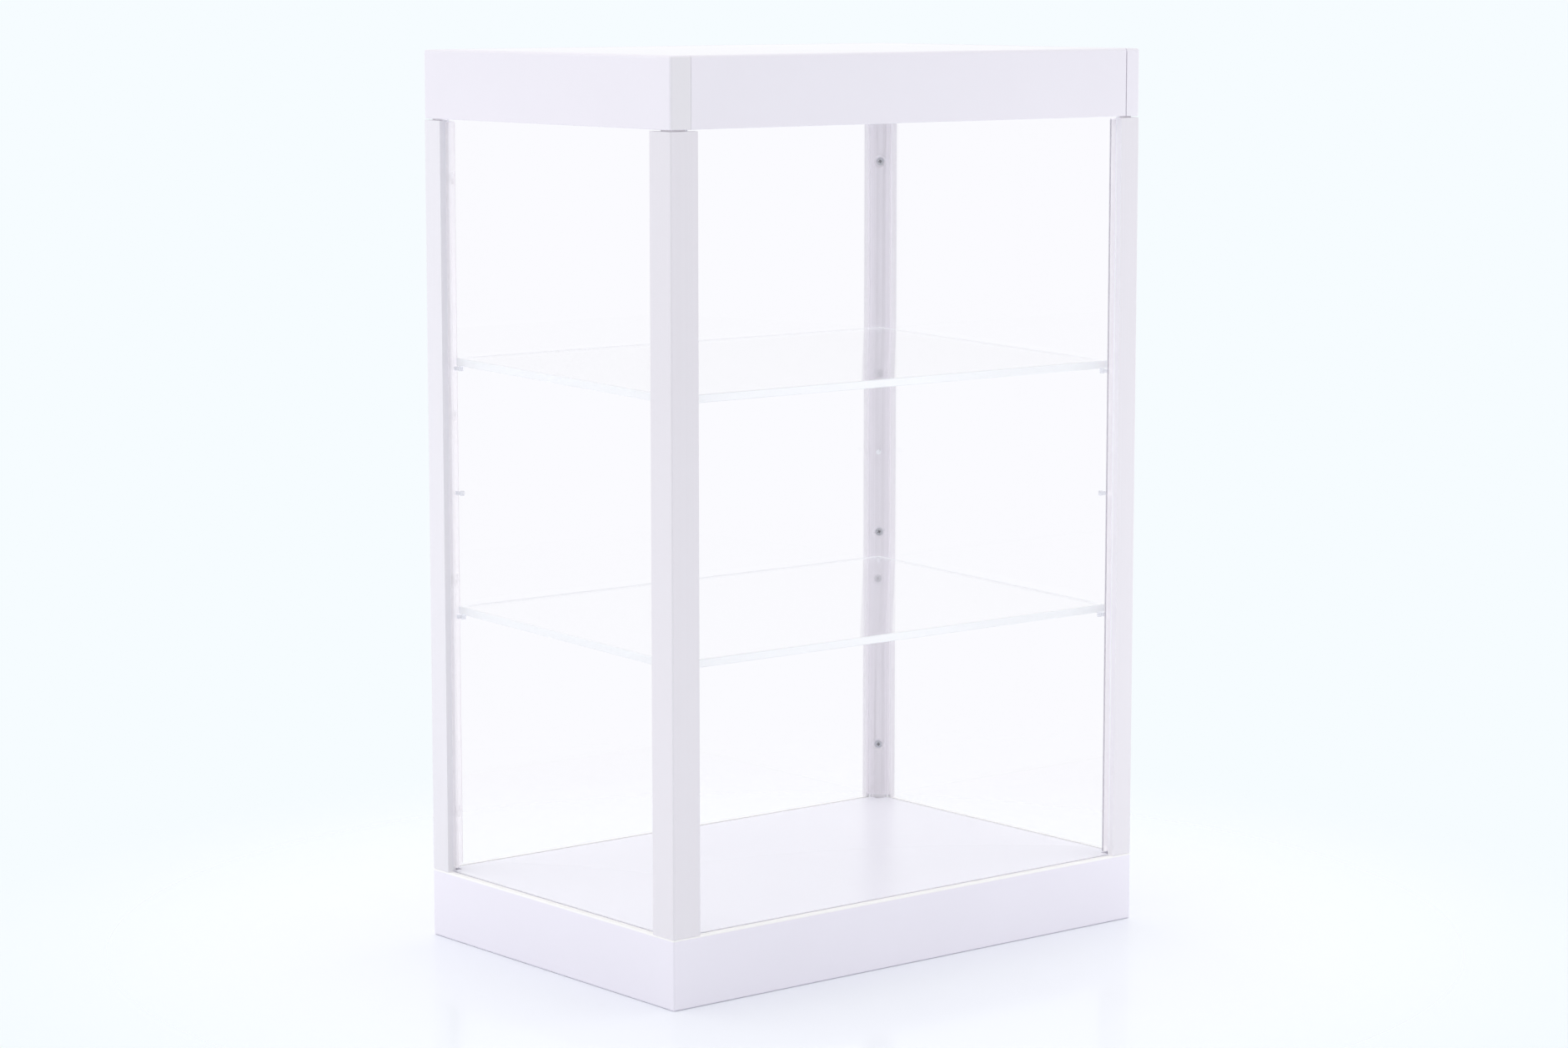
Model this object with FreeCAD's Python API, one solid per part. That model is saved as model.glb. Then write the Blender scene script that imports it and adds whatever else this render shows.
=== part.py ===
import FreeCAD, Part
import math
import os

# Model display case: a white base and cap joined by four corner posts, with clear walls between them.
# The origin is on the table under the middle of the case, +Z is up and the long front faces -Y.
# All sizes are in millimetres.

# Outside of the case
CASE_WIDTH = 300.0
CASE_DEPTH = 200.0
CASE_HEIGHT = 450.0
EDGE_ROUND = 0.8

# Base
BASE_TOP = 35.0
SKIRT_THICKNESS = 9.0
FLOOR_THICKNESS = 6.0
FLOOR_NOTCH_PLAY = 0.3
BLOCK_LEG = 26.0
PAD_HEIGHT = 0.45
PAD_DIAMETER = 12.0
PAD_SETBACK = 8.0

# Corner posts: two outer legs and a core that takes the screws
FRONT_LEFT_LEG = 16.0
FRONT_RIGHT_LEG = 12.4
REAR_LEG = 13.4
POST_WALL = 3.0
CORE_FLAT_WIDTH = 6.4
TENON_DEPTH = 18.0
TENON_PLAY = 0.15

# Clear wall panels and the slots that they stand in
PANEL_THICKNESS = 2.0
PANEL_PLAY = 0.2
PANEL_EDGE_PLAY = 0.4

# Clear corner strips
STRIP_WEB = 2.5
STRIP_FLANGE = 1.2
STRIP_FACE_WIDTH = 11.0
STRIP_FOOT = 0.6
STRIP_END_GAP = 2.0

# Countersunk screws
SCREW_DIAMETER = 3.0
SCREW_HEAD_DIAMETER = 6.6
SCREW_BITE = 7.4
SCREW_PLAY = 0.1
SCREW_END_DISTANCE = 28.0
SCREW_TO_PEG = 21.0
RECESS_LENGTH = 3.4
RECESS_WIDTH = 0.9
RECESS_DEPTH = 1.2

# Shelf pegs: the rear pegs stand higher, so the shelves lean a little towards the front
PEG_NECK_DIAMETER = 2.0
PEG_BEAD_DIAMETER = 2.6
PEG_BEAD_LENGTH = 2.4
PEG_BEAD_ROUND = 0.4
PEG_REACH = 4.4
PEG_SOCKET_DEPTH = 3.0
PEG_SPACING = 63.0
PEG_REAR_RISE = 5.0

# Shelves
SHELF_THICKNESS = 4.0
SHELF_CORNER_GAP = 0.6
SHELF_SEAT_GAP = 0.1
SHELF_EDGE_ROUND = 0.4

# Cap, and the front fascia that lifts out of it
CAP_HEIGHT = 34.0
CAP_SHADOW_GAP = 0.8
CAP_UPPER_ROUND = 1.4
CAP_LOWER_ROUND = 0.4
CAP_LEFT_BOARD = 12.0
CAP_RIGHT_BOARD = 9.0
CAP_REAR_BOARD = 9.0
CAP_TOP_THICKNESS = 6.0
CAP_GROOVE_DEPTH = 5.0
BATTEN_SIDE = 8.0
BATTEN_FRONT_GAP = 4.0
BATTEN_SCREW_INSET = 30.0
BATTEN_SCREW_BITE = 4.0
FASCIA_THICKNESS = 9.0
FASCIA_LEFT_GAP = 0.15
FASCIA_RIGHT_GAP = 0.6
FASCIA_REAR_GAP = 0.5
FASCIA_GROOVE_DEPTH = 20.0
FASCIA_GROOVE_PLAY = 0.05
FASCIA_SCREW_DIAMETER = 2.5
FASCIA_SCREW_HEAD_DIAMETER = 5.0
FASCIA_SCREW_SKIN = 2.0
FASCIA_SCREW_END_DISTANCE = 40.0

# Levels that follow from the sizes above
LEDGE = BASE_TOP - FLOOR_THICKNESS
CAP_BOTTOM = CASE_HEIGHT - CAP_HEIGHT
POST_TOP = CAP_BOTTOM - CAP_SHADOW_GAP
STRIP_BOTTOM = BASE_TOP + STRIP_END_GAP
STRIP_TOP = POST_TOP - CAP_SHADOW_GAP
STRIP_MIDDLE = (STRIP_BOTTOM + STRIP_TOP) / 2
TOP_PLATE_BOTTOM = CASE_HEIGHT - CAP_TOP_THICKNESS

# Distances in from the outer faces; a face sum is the two distances of a slanted face added together
SLOT_WIDTH = PANEL_THICKNESS + 2 * PANEL_PLAY
SLOT_INNER = POST_WALL + SLOT_WIDTH
FLANGE_INNER = SLOT_INNER + STRIP_FLANGE
DIAGONAL = math.sqrt(2)
WEB_FACE_SUM = 2 * FLANGE_INNER + STRIP_FACE_WIDTH / DIAGONAL
WEB_BACK_SUM = WEB_FACE_SUM - STRIP_WEB * DIAGONAL
CORE_EDGE = (WEB_BACK_SUM + CORE_FLAT_WIDTH / DIAGONAL) / 2
STRIP_REACH = WEB_FACE_SUM - FLANGE_INNER + STRIP_FOOT
LONG_PANEL_LEFT = max(CORE_EDGE + PANEL_EDGE_PLAY, CAP_LEFT_BOARD + FASCIA_LEFT_GAP)
LONG_PANEL_RIGHT = max(CORE_EDGE + PANEL_EDGE_PLAY, CAP_RIGHT_BOARD + FASCIA_RIGHT_GAP)
SHORT_PANEL_INSET = CORE_EDGE + PANEL_EDGE_PLAY
SHELF_INSET = WEB_FACE_SUM / 2 + SHELF_CORNER_GAP / DIAGONAL
PEG_TIP_INSET = WEB_FACE_SUM / 2 + PEG_REACH / DIAGONAL
PAD_INSET = SKIRT_THICKNESS + PAD_SETBACK

CORNERS = {
    "front_left": (-1, -1),
    "front_right": (1, -1),
    "rear_left": (-1, 1),
    "rear_right": (1, 1),
}
POST_LEGS = {
    "front_left": FRONT_LEFT_LEG,
    "front_right": FRONT_RIGHT_LEG,
    "rear_left": REAR_LEG,
    "rear_right": REAR_LEG,
}
UP = FreeCAD.Vector(0, 0, 1)


def save(name, *solids):
    """Write one piece, or a group of like pieces, as its own file."""
    shape = solids[0] if len(solids) == 1 else Part.makeCompound(list(solids))
    shape.exportStep(f"parts/{name}.step")
    print(name, "solids", len(shape.Solids), "valid", shape.isValid(), "volume", round(shape.Volume, 1))


def block(x_low, x_high, y_low, y_high, z_low, z_high):
    """Box given by distances from the left face, the front face and the table."""
    corner = FreeCAD.Vector(x_low - CASE_WIDTH / 2, y_low - CASE_DEPTH / 2, z_low)
    return Part.makeBox(x_high - x_low, y_high - y_low, z_high - z_low, corner)


def at_corner(corner, inset_x, inset_y, level):
    """Point given by its distances in from the two outer faces of a corner."""
    side_x, side_y = CORNERS[corner]
    return FreeCAD.Vector(side_x * (CASE_WIDTH / 2 - inset_x), side_y * (CASE_DEPTH / 2 - inset_y), level)


def corner_prism(corner, outline, z_low, z_high):
    """Upright prism on an outline of corner insets."""
    points = [at_corner(corner, inset_x, inset_y, z_low) for inset_x, inset_y in outline]
    face = Part.Face(Part.makePolygon(points + points[:1]))
    return face.extrude(UP * (z_high - z_low))


def inward(corner):
    """Level direction from a corner towards the middle of the case, at 45 degrees."""
    side_x, side_y = CORNERS[corner]
    return FreeCAD.Vector(-side_x / DIAGONAL, -side_y / DIAGONAL, 0)


def on_diagonal(corner, face_sum, level):
    """Point on a corner's diagonal, where a slanted face with this sum crosses it."""
    return at_corner(corner, face_sum / 2, face_sum / 2, level)


def rounded_block(z_low, z_high):
    """The full plan of the case between two levels, with its edges eased."""
    solid = block(0, CASE_WIDTH, 0, CASE_DEPTH, z_low, z_high)
    return solid.makeFillet(EDGE_ROUND, solid.Edges)


def cap_envelope():
    """The full plan of the cap, with its upper edges and its corners rounder than its lower edges."""
    solid = block(0, CASE_WIDTH, 0, CASE_DEPTH, CAP_BOTTOM, CASE_HEIGHT)
    upper = [edge for edge in solid.Edges if edge.CenterOfMass.z > CAP_BOTTOM + CAP_LOWER_ROUND]
    solid = solid.makeFillet(CAP_UPPER_ROUND, upper)
    lower = [edge for edge in solid.Edges if edge.CenterOfMass.z < CAP_BOTTOM + CAP_LOWER_ROUND]
    return solid.makeFillet(CAP_LOWER_ROUND, lower)


def core_outline(play=0.0):
    """Section of a post's core, grown by a play for the hole that it stands in."""
    low = POST_WALL - play
    high = CORE_EDGE + play
    flat = WEB_BACK_SUM + 2 * play
    return [(low, low), (high, low), (high, flat - high), (flat - high, high), (low, high)]


def screw(head, direction, length, diameter, head_diameter):
    """Countersunk screw with a cross recess: head is the middle of its flush face, direction its way in."""
    head_depth = (head_diameter - diameter) / 2
    cone = Part.makeCone(head_diameter / 2, diameter / 2, head_depth, head, direction)
    shank = Part.makeCylinder(diameter / 2, length, head, direction)
    solid = cone.fuse(shank).removeSplitter()
    level = FreeCAD.Vector(-direction.y - direction.z, direction.x, 0)
    other = direction.cross(level)
    scale = head_diameter / SCREW_HEAD_DIAMETER
    for along, across in ((level, other), (other, level)):
        reach = along * (RECESS_LENGTH * scale)
        width = across * (RECESS_WIDTH * scale)
        start = head - reach / 2 - width / 2
        outline = Part.makePolygon([start, start + reach, start + reach + width, start + width, start])
        solid = solid.cut(Part.Face(outline).extrude(direction * (RECESS_DEPTH * scale)))
    return solid


def screw_hole(head, direction, length, diameter, head_diameter):
    """Room for a countersunk screw, with the screw's play all round its shank and head."""
    head_depth = (head_diameter - diameter) / 2
    radius = diameter / 2 + SCREW_PLAY
    cone = Part.makeCone(head_diameter / 2 + SCREW_PLAY, radius, head_depth, head, direction)
    return cone.fuse(Part.makeCylinder(radius, length + SCREW_PLAY, head, direction))


def strip_screw_levels():
    """Heights of the screws in a corner strip, from the bottom up."""
    inner = PEG_SPACING - SCREW_TO_PEG
    ends = [STRIP_BOTTOM + SCREW_END_DISTANCE, STRIP_TOP - SCREW_END_DISTANCE]
    return [ends[0], STRIP_MIDDLE - inner, STRIP_MIDDLE + inner, ends[1]]


def strip_screw_parts(maker, corner):
    """Screws, or the room for them, through one corner strip into its post."""
    length = STRIP_WEB + SCREW_BITE
    heads = [on_diagonal(corner, WEB_FACE_SUM, level) for level in strip_screw_levels()]
    return [maker(head, -inward(corner), length, SCREW_DIAMETER, SCREW_HEAD_DIAMETER) for head in heads]


def foot_screw(maker, corner):
    """Screw, or the room for it, from a base corner block into the foot of its post."""
    block_face_sum = 2 * SKIRT_THICKNESS + BLOCK_LEG
    length = (block_face_sum - WEB_BACK_SUM) / DIAGONAL + SCREW_BITE
    head = on_diagonal(corner, block_face_sum, LEDGE - TENON_DEPTH / 2)
    return maker(head, -inward(corner), length, SCREW_DIAMETER, SCREW_HEAD_DIAMETER)


def peg_level(corner, row):
    """Height of a peg's axis; row counts from -1, the lower shelf's, to 1, the upper shelf's."""
    rise = PEG_REAR_RISE / 2 * CORNERS[corner][1]
    return STRIP_MIDDLE + row * PEG_SPACING + rise


def peg(corner, row):
    """Clear peg: a neck pushed through the strip into the post, and a rounded bead that carries the shelf."""
    way = inward(corner)
    face = on_diagonal(corner, WEB_FACE_SUM, peg_level(corner, row))
    depth = STRIP_WEB + PEG_SOCKET_DEPTH
    neck = Part.makeCylinder(PEG_NECK_DIAMETER / 2, depth + PEG_REACH, face - way * depth, way)
    bead_start = face + way * (PEG_REACH - PEG_BEAD_LENGTH)
    bead = Part.makeCylinder(PEG_BEAD_DIAMETER / 2, PEG_BEAD_LENGTH, bead_start, way)
    bead = bead.makeFillet(PEG_BEAD_ROUND, bead.Edges)
    return neck.fuse(bead).removeSplitter()


def peg_hole(corner, row):
    """Socket of a peg in the strip and the post."""
    way = inward(corner)
    face = on_diagonal(corner, WEB_FACE_SUM, peg_level(corner, row))
    depth = STRIP_WEB + PEG_SOCKET_DEPTH + SCREW_PLAY
    return Part.makeCylinder(PEG_NECK_DIAMETER / 2 + SCREW_PLAY, depth, face - way * depth, way)


def corner_holes(corner):
    """All holes on one corner's diagonal above the base."""
    return strip_screw_parts(screw_hole, corner) + [peg_hole(corner, row) for row in (-1, 0, 1)]


def base_boards():
    """Four mitred skirt boards with a ledge for the floor and mortises for the posts."""
    near = SKIRT_THICKNESS
    far_x = CASE_WIDTH - SKIRT_THICKNESS
    far_y = CASE_DEPTH - SKIRT_THICKNESS
    outer = [(0, 0), (CASE_WIDTH, 0), (CASE_WIDTH, CASE_DEPTH), (0, CASE_DEPTH)]
    inner = [(near, near), (far_x, near), (far_x, far_y), (near, far_y)]
    room = [block(POST_WALL, CASE_WIDTH - POST_WALL, POST_WALL, CASE_DEPTH - POST_WALL, LEDGE, BASE_TOP)]
    for corner in CORNERS:
        room.append(corner_prism(corner, core_outline(TENON_PLAY), LEDGE - TENON_DEPTH - TENON_PLAY, LEDGE))
        room.append(foot_screw(screw_hole, corner))
    envelope = rounded_block(PAD_HEIGHT, BASE_TOP)
    for index, side in enumerate(("front", "right", "rear", "left")):
        following = (index + 1) % len(outer)
        outline = [outer[index], outer[following], inner[following], inner[index]]
        board = corner_prism("front_left", outline, PAD_HEIGHT, BASE_TOP)
        save(f"base_{side}_board", board.common(envelope).cut(room))


def base_floor():
    """Floor panel on the skirt's ledge, notched round the four posts."""
    floor = block(SLOT_INNER, CASE_WIDTH - SLOT_INNER, SLOT_INNER, CASE_DEPTH - SLOT_INNER, LEDGE, BASE_TOP)
    notch = CORE_EDGE + FLOOR_NOTCH_PLAY
    outline = [(0, 0), (notch, 0), (notch, notch), (0, notch)]
    notches = [corner_prism(corner, outline, LEDGE, BASE_TOP) for corner in CORNERS]
    save("base_floor_panel", floor.cut(notches))


def base_fittings():
    """Corner blocks under the floor, their screws into the posts, and the foot pads."""
    low = SKIRT_THICKNESS
    high = SKIRT_THICKNESS + BLOCK_LEG
    outline = [(low, low), (high, low), (low, high)]
    blocks = []
    pads = []
    for corner in CORNERS:
        solid = corner_prism(corner, outline, PAD_HEIGHT, LEDGE)
        blocks.append(solid.cut(foot_screw(screw_hole, corner)))
        centre = at_corner(corner, PAD_INSET, PAD_INSET, 0)
        pads.append(Part.makeCylinder(PAD_DIAMETER / 2, PAD_HEIGHT, centre))
    save("base_corner_blocks", *blocks)
    save("post_foot_screws", *[foot_screw(screw, corner) for corner in CORNERS])
    save("foot_pads", *pads)


def post(corner):
    """White corner post: legs on the base's rim, and a core that stands in the base and carries the cap."""
    wall = POST_WALL
    leg = POST_LEGS[corner]
    outline = [(0, 0), (leg, 0), (leg, wall), (wall, wall), (wall, leg), (0, leg)]
    legs = corner_prism(corner, outline, BASE_TOP, POST_TOP).common(rounded_block(PAD_HEIGHT, CASE_HEIGHT))
    core = corner_prism(corner, core_outline(), LEDGE - TENON_DEPTH, CAP_BOTTOM)
    solid = legs.fuse(core).removeSplitter()
    save(f"{corner}_post", solid.cut(corner_holes(corner) + [foot_screw(screw_hole, corner)]))


def corner_strip(corner):
    """Clear strip across a corner: a slanted web on the post's core and two flanges behind the panels."""
    outline = [
        (STRIP_REACH, SLOT_INNER),
        (STRIP_REACH, FLANGE_INNER),
        (WEB_FACE_SUM - FLANGE_INNER, FLANGE_INNER),
        (FLANGE_INNER, WEB_FACE_SUM - FLANGE_INNER),
        (FLANGE_INNER, STRIP_REACH),
        (SLOT_INNER, STRIP_REACH),
        (SLOT_INNER, WEB_BACK_SUM - SLOT_INNER),
        (WEB_BACK_SUM - SLOT_INNER, SLOT_INNER),
    ]
    solid = corner_prism(corner, outline, STRIP_BOTTOM, STRIP_TOP)
    save(f"{corner}_corner_strip", solid.cut(corner_holes(corner)))


def wall_panels():
    """Left, right and rear panels, standing on the ledge and reaching into the cap's grooves."""
    near = POST_WALL + PANEL_PLAY
    far = near + PANEL_THICKNESS
    top = CAP_BOTTOM + CAP_GROOVE_DEPTH
    ends = (SHORT_PANEL_INSET, CASE_DEPTH - SHORT_PANEL_INSET)
    save("left_panel", block(near, far, *ends, LEDGE, top))
    save("right_panel", block(CASE_WIDTH - far, CASE_WIDTH - near, *ends, LEDGE, top))
    ends = (LONG_PANEL_LEFT, CASE_WIDTH - LONG_PANEL_RIGHT)
    save("rear_panel", block(*ends, CASE_DEPTH - far, CASE_DEPTH - near, LEDGE, top))


def fascia_screw_heads():
    """Middles of the flush faces of the screws at the back of the fascia."""
    left = CAP_LEFT_BOARD + FASCIA_SCREW_END_DISTANCE
    right = CASE_WIDTH - CAP_RIGHT_BOARD - FASCIA_SCREW_END_DISTANCE
    level = CAP_BOTTOM + FASCIA_GROOVE_DEPTH / 2
    places = (left, (left + right) / 2, right)
    return [FreeCAD.Vector(x - CASE_WIDTH / 2, FASCIA_THICKNESS - CASE_DEPTH / 2, level) for x in places]


def front_door():
    """Front panel with the fascia on its upper edge: together they slide up out of the posts."""
    near = POST_WALL + PANEL_PLAY
    far = near + PANEL_THICKNESS
    length = FASCIA_THICKNESS - FASCIA_SCREW_SKIN
    sizes = (length, FASCIA_SCREW_DIAMETER, FASCIA_SCREW_HEAD_DIAMETER)
    forward = FreeCAD.Vector(0, -1, 0)
    holes = [screw_hole(head, forward, *sizes) for head in fascia_screw_heads()]
    top = CAP_BOTTOM + FASCIA_GROOVE_DEPTH
    panel = block(LONG_PANEL_LEFT, CASE_WIDTH - LONG_PANEL_RIGHT, near, far, LEDGE, top)
    left = CAP_LEFT_BOARD + FASCIA_LEFT_GAP
    right = CASE_WIDTH - CAP_RIGHT_BOARD - FASCIA_RIGHT_GAP
    board = block(left, right, 0, FASCIA_THICKNESS, CAP_BOTTOM, CASE_HEIGHT)
    board = board.common(cap_envelope())
    groove = block(left, right, near - FASCIA_GROOVE_PLAY, far + FASCIA_GROOVE_PLAY, CAP_BOTTOM, top)
    save("front_panel", panel.cut(holes))
    save("front_fascia", board.cut([groove] + holes))
    save("fascia_screws", *[screw(head, forward, *sizes) for head in fascia_screw_heads()])


def cap_boards():
    """Left, right and rear boards of the cap, grooved underneath where they sit on the panels."""
    envelope = cap_envelope()
    groove_top = CAP_BOTTOM + CAP_GROOVE_DEPTH
    ends = (CORE_EDGE, CASE_DEPTH - CORE_EDGE)
    left = block(0, CAP_LEFT_BOARD, 0, CASE_DEPTH, CAP_BOTTOM, CASE_HEIGHT).common(envelope)
    save("cap_left_board", left.cut(block(POST_WALL, SLOT_INNER, *ends, CAP_BOTTOM, groove_top)))
    inner = CASE_WIDTH - CAP_RIGHT_BOARD
    right = block(inner, CASE_WIDTH, 0, CASE_DEPTH, CAP_BOTTOM, CASE_HEIGHT).common(envelope)
    groove = block(CASE_WIDTH - SLOT_INNER, CASE_WIDTH - POST_WALL, *ends, CAP_BOTTOM, groove_top)
    save("cap_right_board", right.cut(groove))
    rear = block(CAP_LEFT_BOARD, inner, CASE_DEPTH - CAP_REAR_BOARD, CASE_DEPTH, CAP_BOTTOM, CASE_HEIGHT)
    slot = (CASE_DEPTH - SLOT_INNER, CASE_DEPTH - POST_WALL)
    groove = block(CAP_LEFT_BOARD, inner, *slot, CAP_BOTTOM, groove_top)
    save("cap_rear_board", rear.common(envelope).cut(groove))


def cap_top():
    """Top plate between the cap's boards, the battens that carry it, and their screws."""
    left = CAP_LEFT_BOARD
    right = CASE_WIDTH - CAP_RIGHT_BOARD
    front = FASCIA_THICKNESS + FASCIA_REAR_GAP
    rear = CASE_DEPTH - CAP_REAR_BOARD
    batten_front = front + BATTEN_FRONT_GAP
    batten_rear = rear - BATTEN_SIDE
    low = TOP_PLATE_BOTTOM - BATTEN_SIDE
    spots = {
        "left": [(left + BATTEN_SIDE / 2, batten_front + BATTEN_SCREW_INSET),
                 (left + BATTEN_SIDE / 2, batten_rear - BATTEN_SCREW_INSET)],
        "right": [(right - BATTEN_SIDE / 2, batten_front + BATTEN_SCREW_INSET),
                  (right - BATTEN_SIDE / 2, batten_rear - BATTEN_SCREW_INSET)],
        "rear": [(left + BATTEN_SCREW_INSET, rear - BATTEN_SIDE / 2),
                 (right - BATTEN_SCREW_INSET, rear - BATTEN_SIDE / 2)],
    }
    battens = {
        "left": block(left, left + BATTEN_SIDE, batten_front, batten_rear, low, TOP_PLATE_BOTTOM),
        "right": block(right - BATTEN_SIDE, right, batten_front, batten_rear, low, TOP_PLATE_BOTTOM),
        "rear": block(left, right, batten_rear, rear, low, TOP_PLATE_BOTTOM),
    }
    sizes = (BATTEN_SIDE + BATTEN_SCREW_BITE, SCREW_DIAMETER, SCREW_HEAD_DIAMETER)
    screws = []
    holes = []
    for side in battens:
        heads = [FreeCAD.Vector(x - CASE_WIDTH / 2, y - CASE_DEPTH / 2, low) for x, y in spots[side]]
        screws += [screw(head, UP, *sizes) for head in heads]
        rooms = [screw_hole(head, UP, *sizes) for head in heads]
        save(f"cap_{side}_batten", battens[side].cut(rooms))
        holes += rooms
    plate = block(left, right, front, rear, TOP_PLATE_BOTTOM, CASE_HEIGHT)
    save("cap_top_plate", plate.cut(holes))
    save("cap_screws", *screws)


def shelf(name, row):
    """Clear shelf on four pegs, from just inside the front strips to just inside the rear ones."""
    lean = math.atan2(PEG_REAR_RISE, CASE_DEPTH - PEG_TIP_INSET - SHELF_INSET)
    far_x = CASE_WIDTH - SHELF_INSET
    far_y = CASE_DEPTH - SHELF_INSET
    plate = block(SHELF_INSET, far_x, SHELF_INSET, far_y, 0, SHELF_THICKNESS)
    plate = plate.makeFillet(SHELF_EDGE_ROUND, plate.Edges)
    front_edge = FreeCAD.Vector(0, SHELF_INSET - CASE_DEPTH / 2, 0)
    plate.rotate(front_edge, FreeCAD.Vector(1, 0, 0), math.degrees(lean))
    seat = peg_level("front_left", row) + PEG_BEAD_DIAMETER / 2 + SHELF_SEAT_GAP
    plate.translate(UP * seat)
    save(name, plate)


def main():
    """Build every piece in the order in which the case goes together."""
    os.makedirs("parts", exist_ok=True)
    base_boards()
    base_floor()
    base_fittings()
    for corner in CORNERS:
        post(corner)
        corner_strip(corner)
    screws = [solid for corner in CORNERS for solid in strip_screw_parts(screw, corner)]
    save("corner_strip_screws", *screws)
    for name, row in (("lower", -1), ("middle", 0), ("upper", 1)):
        save(f"{name}_shelf_pegs", *[peg(corner, row) for corner in CORNERS])
    wall_panels()
    shelf("lower_shelf", -1)
    shelf("upper_shelf", 1)
    front_door()
    cap_boards()
    cap_top()


main()
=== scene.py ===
"""Looks of a model display case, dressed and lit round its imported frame."""
import logging
import math
from collections.abc import Callable
from dataclasses import dataclass
from enum import Enum

import bmesh
import bpy
from mathutils import Euler, Matrix, Vector


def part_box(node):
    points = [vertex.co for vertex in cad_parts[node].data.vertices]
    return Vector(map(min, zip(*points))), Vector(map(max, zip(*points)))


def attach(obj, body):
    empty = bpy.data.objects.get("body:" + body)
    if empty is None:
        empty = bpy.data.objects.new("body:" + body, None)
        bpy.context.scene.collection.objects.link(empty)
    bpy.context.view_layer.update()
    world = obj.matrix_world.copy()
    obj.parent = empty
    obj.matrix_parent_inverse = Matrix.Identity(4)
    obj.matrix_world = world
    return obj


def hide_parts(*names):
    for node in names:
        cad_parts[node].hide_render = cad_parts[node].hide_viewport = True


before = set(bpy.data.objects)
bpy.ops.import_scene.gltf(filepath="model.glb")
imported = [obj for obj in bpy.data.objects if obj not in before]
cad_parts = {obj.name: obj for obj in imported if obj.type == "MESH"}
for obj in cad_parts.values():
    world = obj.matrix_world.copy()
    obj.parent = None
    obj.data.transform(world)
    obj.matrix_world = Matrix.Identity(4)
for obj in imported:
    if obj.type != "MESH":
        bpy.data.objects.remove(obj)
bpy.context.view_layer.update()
LOG = logging.getLogger("display_case")

Material = bpy.types.Material
Piece = bpy.types.Object
Point = tuple[float, float, float]
Socket = bpy.types.NodeSocket
Tree = bpy.types.NodeTree
Value = float | tuple[float, ...] | Socket

MM = 0.001
HALF_WIDTH = 150.0 * MM
HALF_DEPTH = 100.0 * MM
# Signs of X and Y at the front left, front right, rear left and rear right corners
CORNERS = ((-1, -1), (1, -1), (-1, 1), (1, 1))
# A face begins to count as looking to the left where its normal's X is the first, and fully at the second
LEFT_FROM = -0.95
LEFT_FULL = -0.99
# A face counts as the top or the underside of a piece where its normal's Z is past this
LEVEL_SLOPE = 0.9
# Octaves of noise in the lines of a die or a saw
LINE_DETAIL = 3.0
# Acrylic bends light the same way in sheets, strips and pegs
ACRYLIC_IOR = 1.49
# The cap and the fascia are one white, drawn a little greyer than the base: painted shade that evens out the
# stronger light on the upper part
CAP_SHADED_WHITE = "#EEEBF3"
CAP_SHADE = "#EAE7EF"


class Level(Enum):
    """Levels that carry a shelf."""

    LOWER = "lower"
    UPPER = "upper"


class Wall(Enum):
    """Clear walls, named for the side that they close."""

    LEFT = "left"
    RIGHT = "right"
    REAR = "rear"
    FRONT = "front"


def linear(colour: str) -> tuple[float, float, float, float]:
    """Turn an sRGB hex colour into the linear colour that shaders use.

    Args:
        colour: Six hex digits, with or without a leading hash.

    Returns:
        Linear red, green and blue, and an alpha of one.
    """
    digits = colour.lstrip("#")
    shares = [int(digits[at:at + 2], 16) / 255 for at in (0, 2, 4)]
    # The curve of the sRGB standard: straight near black, and a power above that
    red, green, blue = [c / 12.92 if c <= 0.04045 else ((c + 0.055) / 1.055) ** 2.4 for c in shares]
    return red, green, blue, 1.0


def add_node(tree: Tree, kind: str, inputs: dict[str | int, Value], **settings: object) -> bpy.types.Node:
    """Add one node to a tree, with its settings, constant inputs and links.

    Args:
        tree: Node tree of a material or of the world.
        kind: Type name of the node.
        inputs: Input name or number to a constant, or to the output socket that feeds it.
        **settings: Attributes of the node itself.

    Returns:
        The new node.
    """
    node = tree.nodes.new(kind)
    for name, setting in settings.items():
        setattr(node, name, setting)
    for name, value in inputs.items():
        if isinstance(value, Socket):
            tree.links.new(value, node.inputs[name])
        else:
            node.inputs[name].default_value = value
    return node


def start_material(name: str) -> tuple[Material, Tree, Socket]:
    """Start a node material that knows only where a point lies on its piece.

    Args:
        name: Name of the material.

    Returns:
        The material, its node tree and the socket that gives the place.
    """
    material = bpy.data.materials.new(name)
    material.use_nodes = True
    tree = material.node_tree
    tree.nodes.clear()
    return material, tree, add_node(tree, "ShaderNodeTexCoord", {}).outputs["Object"]


def fine_lines(tree: Tree, place: Socket, width_mm: float, run_mm: float) -> Socket:
    """Draw the fine upright lines that a die or a saw leaves.

    Args:
        tree: Node tree of the material.
        place: Place on the piece.
        width_mm: Width of a line.
        run_mm: Length after which a line gives way to another.

    Returns:
        Socket that gives the lines, from 0 to 1.
    """
    # Real lines are about a tenth of a millimetre wide and would not show, so they are drawn coarser
    squeeze = (1 / (width_mm * MM), 1 / (width_mm * MM), 1 / (run_mm * MM))
    along = add_node(tree, "ShaderNodeMapping", {"Vector": place, "Scale": squeeze})
    lines = add_node(tree, "ShaderNodeTexNoise", {
        "Vector": along.outputs["Vector"], "Scale": 1.0, "Detail": LINE_DETAIL})
    return lines.outputs["Fac"]


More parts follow.
